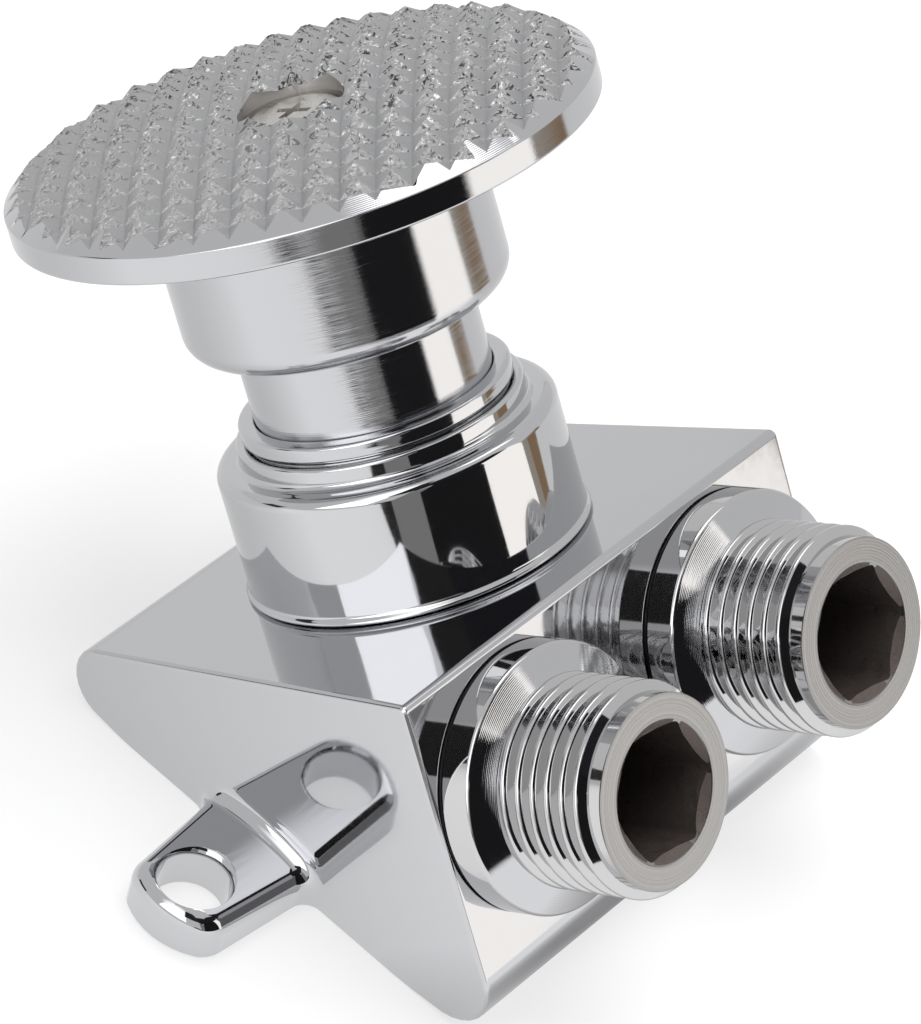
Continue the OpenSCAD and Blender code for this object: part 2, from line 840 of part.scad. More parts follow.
module inlet_gasket() {
    color("black")
        port_gasket(-1);
}

module outlet_gasket() {
    color("black")
        port_gasket(1);
}

valve_body();
bonnet_cap();
bonnet_gasket();
gland_nut();
wiper_ring();
packing_washer();
stem_packing();
stem();
thrust_washer();
return_spring();
seat_ring();
seat_o_ring();
poppet();
poppet_washer();
poppet_nut();
pedal();
pedal_screw();
pedal_lock_washer();
inlet_nipple();
outlet_nipple();
inlet_gasket();
outlet_gasket();
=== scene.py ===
# %% [markdown]
# # A foot pedal tap valve
# The valve is screwed to the floor under a sink. A wedge of chromed brass carries a round stem
# with a toothed pedal on top, and two threaded nipples at the back take the water hoses. The
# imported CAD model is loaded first: its bodies move, and every piece made here rides on one.

# %% The frame
import math
import bpy
from mathutils import Matrix, Vector


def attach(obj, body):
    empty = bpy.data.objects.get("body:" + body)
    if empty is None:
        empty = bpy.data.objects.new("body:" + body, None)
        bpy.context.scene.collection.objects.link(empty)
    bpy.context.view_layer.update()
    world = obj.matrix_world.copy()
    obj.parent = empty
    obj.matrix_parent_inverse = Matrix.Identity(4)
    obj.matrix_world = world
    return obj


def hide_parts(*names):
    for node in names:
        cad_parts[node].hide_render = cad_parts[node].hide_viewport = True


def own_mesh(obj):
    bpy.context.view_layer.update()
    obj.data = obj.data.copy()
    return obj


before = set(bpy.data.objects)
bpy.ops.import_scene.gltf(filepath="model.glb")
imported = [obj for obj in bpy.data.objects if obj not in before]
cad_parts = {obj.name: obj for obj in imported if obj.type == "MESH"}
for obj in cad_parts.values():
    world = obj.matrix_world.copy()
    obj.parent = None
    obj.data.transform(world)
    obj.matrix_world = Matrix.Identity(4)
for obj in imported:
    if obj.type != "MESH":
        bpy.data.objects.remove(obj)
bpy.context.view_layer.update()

# %% [markdown]
# ## Two tilted workbenches
# Nearly everything here was turned on a lathe, so each piece is modelled upright around the Z axis,
# in millimetres from a handy zero, and set in its place at the end. The stem leans forward
# by the slope of the wedge, and its zero is where it meets the sloping face. The ports lie along
# the slope, and their zero is the outer face of the gasket.

# %% Places of the stem and the ports
MM = 0.001
SLOPE = math.radians(34.4)
STEM_FOOT = Vector((0, -7.25, 20.2)) * MM
PORT_ASIDE, PORT_AHEAD, PORT_DEPTH = 16.2 * MM, 24.2 * MM, 14.65 * MM
stem_place = Matrix.Translation(STEM_FOOT) @ Matrix.Rotation(SLOPE, 4, "X")


def port_place(side):
    """The frame of one port: Z points out of it."""
    shift = Matrix.Translation((side * PORT_ASIDE, PORT_AHEAD, -PORT_DEPTH))
    return stem_place @ shift @ Matrix.Rotation(math.radians(-90), 4, "X")


print("stem foot", [round(c / MM, 2) for c in stem_place.translation])

# %% [markdown]
# ## Camera
# The camera's place was worked out from the outlines of the wedge, the two ports and the pedal
# in the photograph. It stands behind the valve and looks down at it through a long lens, so the
# far port is hardly smaller than the near one. The picture is rolled a little, which the
# axes of the camera carry with them.

# %% Camera
CAMERA_PLACE = Vector((0.3526744, 0.18137217, 0.40309264))
SENSOR_WIDTH, LENS = 36, 194.72
scene = bpy.context.scene
camera = bpy.data.objects.new("photo_camera", bpy.data.cameras.new("photo_camera"))
scene.collection.objects.link(camera)
camera_right = Vector((-0.61934361, 0.75698334, 0.20830199))
camera_up = Vector((-0.4486019, -0.55893635, 0.69738547))
camera_back = camera_right.cross(camera_up)
turn = Matrix((camera_right, camera_up, camera_back)).transposed().to_4x4()
camera.matrix_world = Matrix.Translation(CAMERA_PLACE) @ turn
camera.data.sensor_width = SENSOR_WIDTH
camera.data.lens = LENS
scene.camera = camera
print("camera lens", camera.data.lens)

# %% [markdown]
# ## Studio
# Chrome has no colour of its own: what it shows is the room. The valve stood on a white sweep,
# with a dark opening on the camera's side and a warm window beside it, and these make the black
# and cream bands on every round piece. The bands are cards here, seen only in reflections. The
# floor is a real matte surface, so it keeps the shadow.
#
# Node trees are written as calls: each helper adds one node, feeds its sockets and gives back
# the socket with the result. That reads like the formula it stands for.

# %% Node helpers
def feed(tree, socket, value):
    """Links another socket into this one, or sets a plain value on it."""
    if isinstance(value, bpy.types.NodeSocket):
        tree.links.new(value, socket)
    elif value is not None:
        socket.default_value = value


def math_node(tree, kind, a, b=None, c=None):
    """A Math node fed by sockets or plain numbers."""
    node = tree.nodes.new("ShaderNodeMath")
    node.operation = kind
    for socket, value in zip(node.inputs, (a, b, c)):
        feed(tree, socket, value)
    return node.outputs[0]


def vector_node(tree, kind, a, b=None):
    """A Vector Math node: lengths and dot products come out as a number."""
    node = tree.nodes.new("ShaderNodeVectorMath")
    node.operation = kind
    for socket, value in zip(node.inputs, (a, b)):
        feed(tree, socket, value)
    return node.outputs["Value" if kind in ("LENGTH", "DOT_PRODUCT") else "Vector"]


def map_range(tree, value, low, high, to_low, to_high, ease="LINEAR"):
    """Moves a value from one range to another."""
    node = tree.nodes.new("ShaderNodeMapRange")
    node.interpolation_type = ease
    labels = ("Value", "From Min", "From Max", "To Min", "To Max")
    for label, number in zip(labels, (value, low, high, to_low, to_high)):
        feed(tree, node.inputs[label], number)
    return node.outputs["Result"]


def mix(tree, factor, a, b, kind="FLOAT"):
    """A Mix node between two numbers or two colours."""
    node = tree.nodes.new("ShaderNodeMix")
    node.data_type = kind
    for label, value in (("Factor", factor), ("A", a), ("B", b)):
        feed(tree, node.inputs[label], value)
    return node.outputs["Result"]


def split_xyz(tree, vector):
    """The X, Y and Z sockets of a vector."""
    node = tree.nodes.new("ShaderNodeSeparateXYZ")
    tree.links.new(vector, node.inputs[0])
    return node.outputs


# %% [markdown]
# The world is white for the camera and dimmer for the rest, so that it lights without washing
# out. Reflections see a ceiling with one soft bright patch, which the ears of the body show.

# %% World
ROOM_LIGHT, CEILING, PATCH = 0.55, 0.75, 2.0
PATCH_TOWARD, PATCH_EDGE, PATCH_CORE = (0.6153, -0.0215, 0.788), 0.9, 0.995
scene.view_settings.view_transform = "Standard"
world = bpy.data.worlds.new("white_room")
scene.world = world
world.use_nodes = True
sky = world.node_tree
ray = sky.nodes.new("ShaderNodeLightPath").outputs
seen = math_node(sky, "ADD", ray["Is Camera Ray"], ray["Is Transmission Ray"])
level = map_range(sky, seen, 0, 1, ROOM_LIGHT, 1)
look = sky.nodes.new("ShaderNodeTexCoord").outputs["Generated"]
toward = vector_node(sky, "DOT_PRODUCT", look, PATCH_TOWARD)
ceiling = map_range(sky, toward, PATCH_EDGE, PATCH_CORE, CEILING, PATCH, "SMOOTHSTEP")
background = sky.nodes["Background"]
background.inputs["Color"].default_value = (1, 1, 1, 1)
feed(sky, background.inputs["Strength"], mix(sky, ray["Is Glossy Ray"], level, ceiling))
print("world", world.name, len(sky.nodes), "nodes")

# %% [markdown]
# The floor is matte paper with a share of glow mixed in. For the camera the glow lifts it to white.
# In the chrome the glow is painted light: it fades across the sweep, and a painted shadow dims it
# under the ports, where little light comes.

# %% Floor
CAMERA_SHARE, GLOSSY_SHARE = 0.65, 0.8
PORT_SHADOW_PLACE, PORT_SHADOW_SHAPE = Vector((0, 36, 0)) * MM, (0.55, 1, 0)
bpy.ops.object.select_all(action="DESELECT")
bpy.ops.mesh.primitive_plane_add(size=8, location=(0, 0, -0.2 * MM))
floor = bpy.context.object
floor.name = "white_sweep"
floor_mat = bpy.data.materials.new("sweep_paper")
floor_mat.use_nodes = True
tree = floor_mat.node_tree
paper = tree.nodes["Principled BSDF"]
paper.inputs["Base Color"].default_value = (0.9, 0.9, 0.905, 1)
paper.inputs["Roughness"].default_value = 0.9
paper.inputs["Specular IOR Level"].default_value = 0.1
place = tree.nodes.new("ShaderNodeTexCoord").outputs["Object"]
axes = split_xyz(tree, place)
across = math_node(tree, "ADD", axes["X"], axes["Y"])
# Painted falloff of light across the sweep, seen only in reflections.
painted_falloff = map_range(tree, across, -50 * MM, 55 * MM, 0.675, 1.11)
# Painted shadow under the ports, seen only in reflections.
off_ports = vector_node(tree, "SUBTRACT", place, PORT_SHADOW_PLACE)
away = vector_node(tree, "LENGTH", vector_node(tree, "MULTIPLY", off_ports, PORT_SHADOW_SHAPE))
painted_port_shadow = map_range(tree, away, 6 * MM, 26 * MM, 0.25, 1)
ray = tree.nodes.new("ShaderNodeLightPath").outputs
glow = tree.nodes.new("ShaderNodeEmission")
reflected = math_node(tree, "MULTIPLY", painted_falloff, painted_port_shadow)
feed(tree, glow.inputs["Strength"], mix(tree, ray["Is Camera Ray"], reflected, 1))
share = math_node(tree, "MULTIPLY", ray["Is Glossy Ray"], GLOSSY_SHARE)
share = math_node(tree, "MULTIPLY_ADD", ray["Is Camera Ray"], CAMERA_SHARE, share)
blend = tree.nodes.new("ShaderNodeMixShader")
for socket, value in zip(blend.inputs, (share, paper.outputs[0], glow.outputs[0])):
    feed(tree, socket, value)
tree.links.new(blend.outputs[0], tree.nodes["Material Output"].inputs["Surface"])
floor.data.materials.append(floor_mat)
print("floor", floor.dimensions[:2])

# %% [markdown]
# Two large lamps give the floor its light and the valve its soft shadow. Chrome would mirror them
# as hard squares, so they are hidden from reflections.

# %% Lamps
AIM = Vector((0, 0, 30)) * MM


def softbox(name, place, size, power):
    """A square area lamp that points at the valve."""
    lamp = bpy.data.lights.new(name, "AREA")
    lamp.shape = "SQUARE"
    lamp.size = size
    lamp.energy = power
    obj = bpy.data.objects.new(name, lamp)
    scene.collection.objects.link(obj)
    obj.location = place
    obj.rotation_euler = (AIM - Vector(place)).to_track_quat("-Z", "Y").to_euler()
    obj.visible_camera = False
    obj.visible_glossy = False


softbox("overhead_box", (-0.3, -0.2, 1.6), 1.4, 30)
softbox("side_box", (-1.1, 0.9, 0.9), 0.9, 11.5)

# %% [markdown]
# A card is a plane that stands upright on a circle round the valve. It is switched off for
# the camera, for shadows and for matte surfaces, so it is only a tone in the chrome. Each row below
# gives its compass angles, its angles of height, its tone and, for one, how far it stands away.

# %% Cards
CARDS = [
    ("dark_opening", (58, 102.5), (-2, 46), (0.014, 0.014, 0.015)),
    ("grey_wall", (40.5, 58), (-1, 34), (0.27, 0.265, 0.26)),
    ("dark_strip", (30, 41), (0, 6), (0.03, 0.03, 0.03)),
    ("camera_gap", (18, 44), (37, 70), (0.03, 0.03, 0.03)),
    ("key_window", (-24, 20), (11, 40), (2.4, 2.4, 2.4)),
    ("dark_ceiling", (44, 132), (43, 66), (0.02, 0.02, 0.024)),
    ("low_shelf", (-70, -50), (-1, 8.5), (0.04, 0.04, 0.042)),
    ("warm_window", (102.5, 134), (-3, 42), (1.55, 1.5, 1.43)),
    ("brown_wall", (134, 153), (-4, 14), (0.4, 0.36, 0.31)),
    ("wood_strip", (139, 153), (0.5, 9), (0.3, 0.2, 0.12), 0.5),
    ("overhead_window", (-180, -95), (58, 80), (2.4, 2.4, 2.4)),
]


def card(name, azimuths, heights, tone, distance=0.9):
    """A plane between two compass angles and two angles of height, in one flat tone."""
    a, b = (math.radians(x) for x in azimuths)
    low, high = (distance * math.tan(math.radians(x)) for x in heights)
    reach = distance / math.cos((b - a) / 2)
    bpy.ops.object.select_all(action="DESELECT")
    bpy.ops.mesh.primitive_plane_add(size=1)
    obj = bpy.context.object
    obj.name = name
    ends = [(reach * math.cos(t), reach * math.sin(t)) for t in (a, b)]
    corners = [(*ends[0], low), (*ends[1], low), (*ends[0], high), (*ends[1], high)]
    for v, co in zip(obj.data.vertices, corners):
        v.co = co
    mat = bpy.data.materials.new(name)
    mat.use_nodes = True
    nodes, links = mat.node_tree.nodes, mat.node_tree.links
    glow = nodes.new("ShaderNodeEmission")
    glow.inputs["Color"].default_value = (*tone, 1)
    links.new(glow.outputs[0], nodes["Material Output"].inputs["Surface"])
    obj.data.materials.append(mat)
    for kind in ("camera", "diffuse", "shadow", "transmission", "volume_scatter"):
        setattr(obj, "visible_" + kind, False)


for row in CARDS:
    card(*row)
print("cards", [row[0] for row in CARDS])

# %% [markdown]
# ## Finishes
# Three effects come back in several finishes, so each is a node group: lathe lines that run
# round a turning axis, the faint haze of a polished plate, and grit. All of them read
# Object coordinates, and a Mapping node turns these into the frame of the stem or of a port.

# %% Helpers for the groups
FLOAT, VECTOR = "NodeSocketFloat", "NodeSocketVector"


def new_group(name, inputs, outputs):
    """An empty shader node group with float or vector sockets."""
    tree = bpy.data.node_groups.new(name, "ShaderNodeTree")
    for label, kind, value in inputs:
        socket = tree.interface.new_socket(label, in_out="INPUT", socket_type=kind)
        if value is not None:
            socket.default_value = value
    for label, kind in outputs:
        tree.interface.new_socket(label, in_out="OUTPUT", socket_type=kind)
    start = tree.nodes.new("NodeGroupInput").outputs
    end = tree.nodes.new("NodeGroupOutput").inputs
    return tree, start, end


def noise(tree, vector, scale, detail, rough, distortion=0):
    """Noise in three dimensions at a scale per metre."""
    node = tree.nodes.new("ShaderNodeTexNoise")
    labels = ("Scale", "Detail", "Roughness", "Distortion")
    for label, number in zip(labels, (scale, detail, rough, distortion)):
        node.inputs[label].default_value = number
    tree.links.new(vector, node.inputs["Vector"])
    return node.outputs["Fac"]


# %% [markdown]
# Lathe lines are rings that depend on the distance from the axis and along it, and never on the
# angle. A sine makes even grooves and a noise in one dimension makes uneven streaks.

# %% Lathe lines
lathe, start, end = new_group(
    "lathe_lines",
    [("Vector", VECTOR, None), ("Line Pitch", FLOAT, 0.4 * MM), ("Regular", FLOAT, 0.5)],
    [("Height", FLOAT), ("Streak", FLOAT)],
)
axes = split_xyz(lathe, start["Vector"])
x_squared = math_node(lathe, "MULTIPLY", axes["X"], axes["X"])
r_squared = math_node(lathe, "MULTIPLY_ADD", axes["Y"], axes["Y"], x_squared)
along = math_node(lathe, "SUBTRACT", math_node(lathe, "SQRT", r_squared), axes["Z"])
count = math_node(lathe, "DIVIDE", along, start["Line Pitch"])
wave = math_node(lathe, "SINE", math_node(lathe, "MULTIPLY", count, 2 * math.pi))
wave = math_node(lathe, "MULTIPLY_ADD", wave, 0.5, 0.5)
streaks = lathe.nodes.new("ShaderNodeTexNoise")
streaks.noise_dimensions = "1D"
for label, number in (("Scale", 1), ("Detail", 4), ("Roughness", 0.7)):
    streaks.inputs[label].default_value = number
lathe.links.new(count, streaks.inputs["W"])
streak = streaks.outputs["Fac"]
lathe.links.new(mix(lathe, start["Regular"], streak, wave), end["Height"])
lathe.links.new(streak, end["Streak"])
print("group", lathe.name)

# %% [markdown]
# Polish has the slow waves of the buffing wheel, and a fine haze that varies the gloss. Grit is
# the coarse and fine roughness of a cut or cast face.

# %% Polish and grit
polish, start, end = new_group(
    "buffed_plate",
    [("Vector", VECTOR, None), ("Gloss", FLOAT, 0.05), ("Haze", FLOAT, 0.05)],
    [("Height", FLOAT), ("Roughness", FLOAT)],
)
polish.links.new(noise(polish, start["Vector"], 55, 1, 0.4), end["Height"])
fine = noise(polish, start["Vector"], 900, 5, 0.7)
haze = math_node(polish, "MULTIPLY", math_node(polish, "POWER", fine, 3.0), start["Haze"])
polish.links.new(math_node(polish, "ADD", haze, start["Gloss"]), end["Roughness"])

grit, start, end = new_group(
    "grit",
    [("Vector", VECTOR, None), ("Coarse", FLOAT, 0.5)],
    [("Height", FLOAT), ("Mask", FLOAT)],
)
big = noise(grit, start["Vector"], 900, 2, 0.5)
small = noise(grit, start["Vector"], 5200, 4, 0.65)
grit.links.new(mix(grit, start["Coarse"], small, big), end["Height"])
grit.links.new(big, end["Mask"])
print("groups", [g.name for g in bpy.data.node_groups])

# %% [markdown]
# A finish is a Principled shader fed by these groups. The helper below starts one, sets the
# constants on the shader's own sockets and gives back the coordinates in the frame it asks for.

# %% Finish helpers
def finish(name, color, metallic=1.0, frame_of=None):
    """A new material, its tree and shader, and Object coordinates turned into a frame."""
    mat = bpy.data.materials.new(name)
    mat.use_nodes = True
    tree = mat.node_tree
    shader = tree.nodes["Principled BSDF"]
    shader.inputs["Base Color"].default_value = (*color, 1)
    shader.inputs["Metallic"].default_value = metallic
    coords = tree.nodes.new("ShaderNodeTexCoord").outputs["Object"]
    if frame_of is not None:
        mapping = tree.nodes.new("ShaderNodeMapping")
        inverse = frame_of.inverted()
        mapping.inputs["Location"].default_value = inverse.translation
        mapping.inputs["Rotation"].default_value = inverse.to_euler()
        tree.links.new(coords, mapping.inputs["Vector"])
        coords = mapping.outputs["Vector"]
    return mat, tree, shader.inputs, coords


def place_group(tree, group, vector, **values):
    """The results of a node group that is used with its own values."""
    node = tree.nodes.new("ShaderNodeGroup")
    node.node_tree = group
    tree.links.new(vector, node.inputs["Vector"])
    for label, value in values.items():
        node.inputs[label.replace("_", " ")].default_value = value
    return node.outputs


def bump(tree, height, strength, depth):
    """A Bump node: depth is the height of the relief in metres."""
    node = tree.nodes.new("ShaderNodeBump")
    node.inputs["Strength"].default_value = strength
    node.inputs["Distance"].default_value = depth
    tree.links.new(height, node.inputs["Height"])
    return node.outputs["Normal"]


# %% [markdown]
# Chrome plate is a thin mirror over whatever the brass was like before. The body, the cap and the
# nipples were buffed first. The stem, the gland nut and the pedal's rim came straight from the
# lathe, so their fine grooves pull every reflection into streaks.

# %% Chrome finishes
UM = 0.001 * MM
CHROME, WELL_TONE, FACE_TONE = (0.55, 0.553, 0.57), (0.62, 0.605, 0.59), (0.33, 0.326, 0.325)


def polished(name, color=CHROME):
    """Mirror plate with a faint haze and the slow waves of buffing."""
    mat, tree, shader, coords = finish(name, color)
    plate = place_group(tree, polish, coords, Gloss=0.035, Haze=0.12)
    tree.links.new(plate["Roughness"], shader["Roughness"])
    tree.links.new(bump(tree, plate["Height"], 0.06, 2 * MM), shader["Normal"])
    return mat


def turned(name, frame_of, pitch, regular, depth, gloss, color=CHROME):
    """Plate over lathe lines around the axis of a frame."""
    mat, tree, shader, coords = finish(name, color, frame_of=frame_of)
    lines = place_group(tree, lathe, coords, Line_Pitch=pitch, Regular=regular)
    rough = map_range(tree, lines["Streak"], 0.3, 0.7, gloss * 0.6, gloss * 1.5)
    tree.links.new(rough, shader["Roughness"])
    tree.links.new(bump(tree, lines["Height"], 0.5, depth), shader["Normal"])
    return mat


body_chrome = polished("body_chrome")
cap_chrome = polished("cap_chrome", (0.56, 0.563, 0.575))
nipple_chrome = polished("nipple_chrome", (0.56, 0.56, 0.565))
stem_chrome = turned("stem_chrome", stem_place, 0.2 * MM, 0.1, 24 * UM, 0.07)
gland_chrome = turned("gland_chrome", stem_place, 0.5 * MM, 0.3, 20 * UM, 0.07)
rim_chrome = turned("rim_chrome", stem_place, 0.16 * MM, 0.1, 14 * UM, 0.05)
margin_chrome = turned("margin_chrome", stem_place, 0.3 * MM, 0.8, 12 * UM, 0.08)
well_nickel = turned("well_nickel", stem_place, 0.4 * MM, 0.3, 30 * UM, 0.45, WELL_TONE)
collar_chrome, face_nickel = {}, {}
for side in (-1, 1):
    port, number = port_place(side), int(side > 0)
    collar_chrome[side] = turned(f"collar_chrome_{number}", port, 0.24 * MM, 0.6, 5 * UM, 0.05)
    face_nickel[side] = turned(f"face_nickel_{number}", port, 0.3 * MM, 0.45, 15 * UM, 0.26, FACE_TONE)
print("chrome finishes", [m.name for m in bpy.data.materials if "chrome" in m.name])

# %% [markdown]
# Rubber, fibre, brass and the plain metals share one recipe. Grit roughens the surface and also
# shifts its colour a little, because no cut or moulded face is quite even.

# %% Matte finishes
def gritty(name, color, gloss, metallic, depth, coarse=0.5):
    """A rough face: grit in its relief and a little in its colour."""
    mat, tree, shader, coords = finish(name, color, metallic)
    sand = place_group(tree, grit, coords, Coarse=coarse)
    rough = map_range(tree, sand["Mask"], 0.3, 0.7, gloss * 0.75, gloss * 1.25)
    dark, light = ((*[min(1, c * share) for c in color], 1) for share in (0.82, 1.12))
    tree.links.new(rough, shader["Roughness"])
    tree.links.new(mix(tree, sand["Height"], dark, light, "RGBA"), shader["Base Color"])
    tree.links.new(bump(tree, sand["Height"], 0.8, depth), shader["Normal"])
    return mat


tooth_silver = gritty("tooth_silver", (0.49, 0.492, 0.5), 0.5, 1.0, 0.2 * MM, 0.6)
# The bore's dark colour is painted shade deep in the hole.
bore_painted_shade = gritty("bore_painted_shade", (0.12, 0.1, 0.093), 0.36, 0.7, 0.2 * MM)
rubber = gritty("black_rubber", (0.012, 0.012, 0.012), 0.55, 0.0, 50 * UM)
fibre = gritty("fibre", (0.3, 0.13, 0.1), 0.8, 0.0, 0.1 * MM)
brass = gritty("turned_brass", (0.72, 0.5, 0.2), 0.28, 1.0, 30 * UM)
nickel = gritty("nickel_plate", (0.62, 0.6, 0.575), 0.3, 1.0, 20 * UM)
wire = gritty("drawn_wire", (0.5, 0.5, 0.52), 0.3, 1.0, 20 * UM)
print("materials", len(bpy.data.materials))

# %% [markdown]
# One side of every tooth was torn by the cutter that crossed the grooves: it is full of small dark
# pits and bright flecks. The dark pits are partly real pits and partly painted shade, and the bright
# flecks are painted glints. The pits are where a noise is low and the flecks where it is high, and a
# ramp along the plate weakens both towards one side.

# %% Torn tooth sides
# The pit tone is partly painted shade; the fleck tone is a painted glint.
TORN_TONE, PIT_AND_SHADE_TONE, GLINT_TONE = (0.45, 0.45, 0.455), (0.06, 0.055, 0.05), (0.95, 0.95, 0.95)
torn_tooth_and_glints, tree, shader, coords = finish("torn_tooth_and_glints", TORN_TONE, frame_of=stem_place)
chips = noise(tree, coords, 1500, 3, 0.6, 1.5)
plate_ramp = map_range(tree, split_xyz(tree, coords)["X"], -4 * MM, 22 * MM, 1.0, 0.3)
# Dark pits: partly real pits, partly painted shade. Bright flecks: painted glints.
pits_and_shade = math_node(tree, "MULTIPLY", map_range(tree, chips, 0.38, 0.45, 1, 0), plate_ramp)
painted_glints = math_node(tree, "MULTIPLY", map_range(tree, chips, 0.6, 0.66, 0, 1), plate_ramp)
pitted_and_shaded = mix(tree, pits_and_shade, (*TORN_TONE, 1), (*PIT_AND_SHADE_TONE, 1), "RGBA")
tree.links.new(mix(tree, painted_glints, pitted_and_shaded, (*GLINT_TONE, 1), "RGBA"), shader["Base Color"])
tree.links.new(map_range(tree, painted_glints, 0, 1, 0.4, 0.15), shader["Roughness"])
tree.links.new(bump(tree, chips, 0.6, 0.4 * MM), shader["Normal"])
print("torn finish", torn_tooth_and_glints.name)

# %% [markdown]
# ## Turning a piece
# A lathe piece starts as its half outline. A plane is merged to one vertex, the vertex is extruded
# from corner to corner, and chosen corners are rounded with a vertex bevel.

# %% Drawing an outline
def pick(obj, kind, wanted):
    """Selects the vertices, edges or faces for which wanted(item) is true, in edit mode."""
    bpy.ops.object.mode_set(mode="EDIT")
    bpy.ops.mesh.select_mode(type=kind)
    bpy.ops.mesh.select_all(action="DESELECT")
    bpy.ops.object.mode_set(mode="OBJECT")
    items = {"VERT": obj.data.vertices, "EDGE": obj.data.edges, "FACE": obj.data.polygons}[kind]
    chosen = 0
    for item in items:
        item.select = bool(wanted(item))
        chosen += item.select
    bpy.ops.object.mode_set(mode="EDIT")
    return chosen


def draw_outline(name, corners):
    """Draws a line of (radius, height, rounding) corners in millimetres."""
    bpy.ops.object.select_all(action="DESELECT")
    bpy.ops.mesh.primitive_plane_add(size=2 * MM)
    obj = bpy.context.object
    obj.name = name
    bpy.ops.object.mode_set(mode="EDIT")
    bpy.ops.mesh.select_mode(type="VERT")
    bpy.ops.mesh.select_all(action="SELECT")
    bpy.ops.mesh.merge(type="CENTER")
    points = [Vector((c[0], 0, c[1])) * MM for c in corners]
    bpy.ops.transform.translate(value=points[0])
    for a, b in zip(points, points[1:]):
        bpy.ops.mesh.extrude_vertices_move(TRANSFORM_OT_translate={"value": b - a})
    for point, corner in zip(points, corners):
        if len(corner) > 2:
            pick(obj, "VERT", lambda v: (v.co - point).length < 1e-6)
            bpy.ops.mesh.bevel(affect="VERTICES", offset=corner[2] * MM, segments=6)
    return obj


# %% [markdown]
# The line is then spun round Z. A Screw modifier would turn it as well, but the operator leaves a
# plain closed mesh at once, which the Boolean modifier can cut.

# %% Spinning and cutting
WELD = 2e-6


def select_mesh():
    """Opens the active object in edit mode with all of its mesh selected."""
    bpy.ops.object.mode_set(mode="EDIT")
    bpy.ops.mesh.select_all(action="SELECT")


def clean():
    """Merges the active object's doubles and turns every face outwards."""
    select_mesh()
    bpy.ops.mesh.remove_doubles(threshold=WELD)
    bpy.ops.mesh.normals_make_consistent(inside=False)
    bpy.ops.object.mode_set(mode="OBJECT")


def lathe_piece(name, corners, steps=144):
    """A closed solid turned from its outline, which is closed too unless it starts on the axis."""
    closing = [corners[0][:2]] if corners[0][0] > 0 else []
    obj = draw_outline(name, [*corners, *closing])
    select_mesh()
    bpy.ops.mesh.spin(steps=steps, angle=2 * math.pi, center=(0, 0, 0), axis=(0, 0, 1))
    clean()
    return obj


def activate(obj):
    """Makes one object the only selected and the active one."""
    bpy.ops.object.select_all(action="DESELECT")
    obj.select_set(True)
    bpy.context.view_layer.objects.active = obj


def combine(obj, tool, how):
    """Joins, cuts or intersects with another mesh, and deletes that one."""
    mod = obj.modifiers.new(how.lower(), "BOOLEAN")
    mod.operation, mod.solver, mod.object = how, "EXACT", tool
    activate(obj)
    bpy.ops.object.modifier_apply(modifier=mod.name)
    bpy.data.objects.remove(tool, do_unlink=True)


# %% [markdown]
# The last step puts the finished mesh in its place, leaves the object at the origin, and ties
# it to its body. The Weighted Normal modifier lets the large flat faces rule the shading, so a
# bevel doesn't bend the reflections next to it.

# %% Settling
def settle(obj, place, body, nodes, angle=32):
    """Puts a piece in its place, smooths it, ties it to its body and hides its CAD nodes."""
    activate(obj)
    obj.matrix_world = place
    bpy.ops.object.transform_apply(location=True, rotation=True, scale=True)
    bpy.ops.object.shade_smooth_by_angle(angle=math.radians(angle))
    even = obj.modifiers.new("even_light", "WEIGHTED_NORMAL")
    even.keep_sharp = True
    bpy.ops.object.modifier_apply(modifier=even.name)
    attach(obj, body)
    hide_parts(*nodes)
    print(obj.name, len(obj.data.polygons), "faces", [round(c / MM, 1) for c in obj.dimensions])


# %% [markdown]
# ## Body
# The body is a wedge of brass, cast, ground flat and plated. Its side view is drawn with true
# arcs at toe, heel and ridge and extruded to one end only, because a Mirror modifier makes the
# other half. The end faces close in towards the toe, so a bisect cuts the end at that angle.

# %% Side view
TOE, RIDGE, HEEL = (-36.752, 0), (12.057, 33.421), (34.941, 0)
TOE_ROUND, RIDGE_ROUND, HEEL_ROUND = 4.4, 0.8, 5.7


def arc(centre, radius, first, last, steps=10):
    """Points on an arc, with its angles in degrees."""
    angles = [math.radians(first + (last - first) * i / steps) for i in range(steps + 1)]
    return [(centre[0] + radius * math.cos(t), centre[1] + radius * math.sin(t)) for t in angles]


def rounded_corner(corner, toward_a, toward_b, radius):
    """The arc that rounds a corner between the lines to two other corners."""
    p, a, b = (Vector(c) for c in (corner, toward_a, toward_b))
    u, w = (a - p).normalized(), (b - p).normalized()
    half = u.angle(w) / 2
    centre = p + (u + w).normalized() * radius / math.sin(half)
    ends = [p + d * radius / math.tan(half) - centre for d in (u, w)]
    first, last = (math.degrees(math.atan2(e.y, e.x)) for e in ends)
    last += 360 * round((first - last) / 360)
    return arc(centre, radius, first, last)


side_view = [
    *rounded_corner(TOE, HEEL, RIDGE, TOE_ROUND),
    *rounded_corner(RIDGE, TOE, HEEL, RIDGE_ROUND),
    *rounded_corner(HEEL, RIDGE, TOE, HEEL_ROUND),
]
print("side view", len(side_view), "points")

